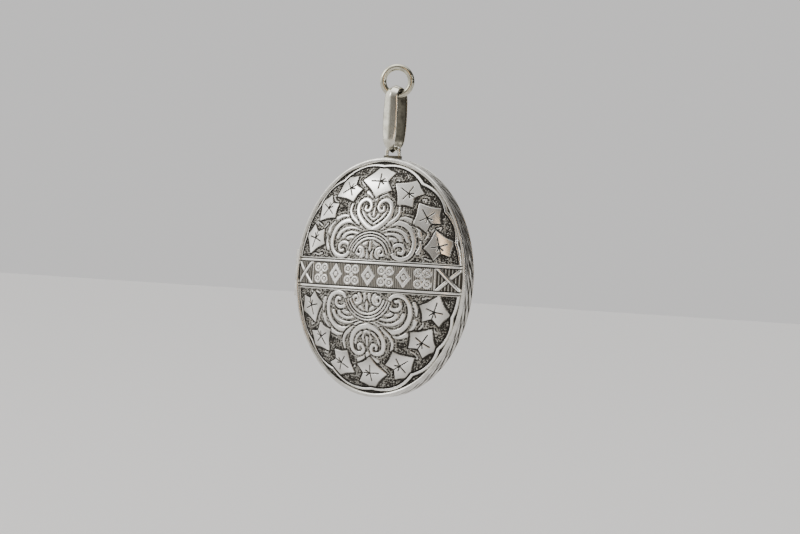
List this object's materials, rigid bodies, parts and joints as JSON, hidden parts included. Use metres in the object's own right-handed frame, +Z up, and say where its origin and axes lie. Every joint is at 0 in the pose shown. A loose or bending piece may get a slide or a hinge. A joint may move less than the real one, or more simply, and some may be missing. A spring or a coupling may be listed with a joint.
{
  "type": "oval picture locket",
  "caption": "Oval hinged picture locket with a domed engraved front, glazed picture frames inside, a ridged bail and a round chain ring.",
  "frame": {"origin": "centre of the chain ring", "axes": "+Z up, from the case to the chain ring; the front cover faces -Y; +X is to the right of somebody facing the front"},
  "size_m": [0.0416, 0.0119, 0.0707],
  "materials": {
    "engraved_silver": "engraved sterling silver, polished on the raised parts and oxidised dark in the recesses",
    "plain_silver": "plain sterling silver with a soft worn polish",
    "polished_silver": "bright polished silver with fine scratches",
    "dark_silver": "tarnished silver around the soldered collar",
    "frame_metal": "gilt frame, satin",
    "card": "aged blank card",
    "glass": "thin clear picture glass"
  },
  "bodies": {
    "ring": {"chain_ring": "polished_silver"},
    "bail": {"bail": "polished_silver"},
    "case": {"back_cover": "plain_silver", "back_side_band": "engraved_silver", "closing_flange": "plain_silver", "back_picture_plate": "plain_silver", "back_picture_card": "card", "back_glass": "glass", "back_picture_frame": "frame_metal", "back_hinge_knuckle_top": "plain_silver", "back_hinge_knuckle_bottom": "plain_silver", "hinge_pin": "polished_silver", "eye_loop": "polished_silver", "eye_collar": "dark_silver"},
    "lid": {"front_cover": "engraved_silver", "front_side_band": "engraved_silver", "front_picture_plate": "plain_silver", "front_picture_card": "card", "front_glass": "glass", "front_picture_frame": "frame_metal", "front_hinge_knuckle": "plain_silver"}
  },
  "joints": [
    {"name": "bail_swing", "type": "hinge", "parent": "ring", "child": "bail", "pos_m": [0, 0, 0], "axis": [-0.3746, 0.9272, 0], "range_deg": [-60, 60]},
    {"name": "case_swing", "type": "hinge", "parent": "bail", "child": "case", "pos_m": [0, 0, -0.01405], "axis": [1, 0, 0], "range_deg": [-50, 50]},
    {"name": "lid_hinge", "type": "hinge", "parent": "case", "child": "lid", "pos_m": [-0.02061, -0.00075, -0.04165], "axis": [0, 0, 1], "range_deg": [-150, 0]}
  ]
}
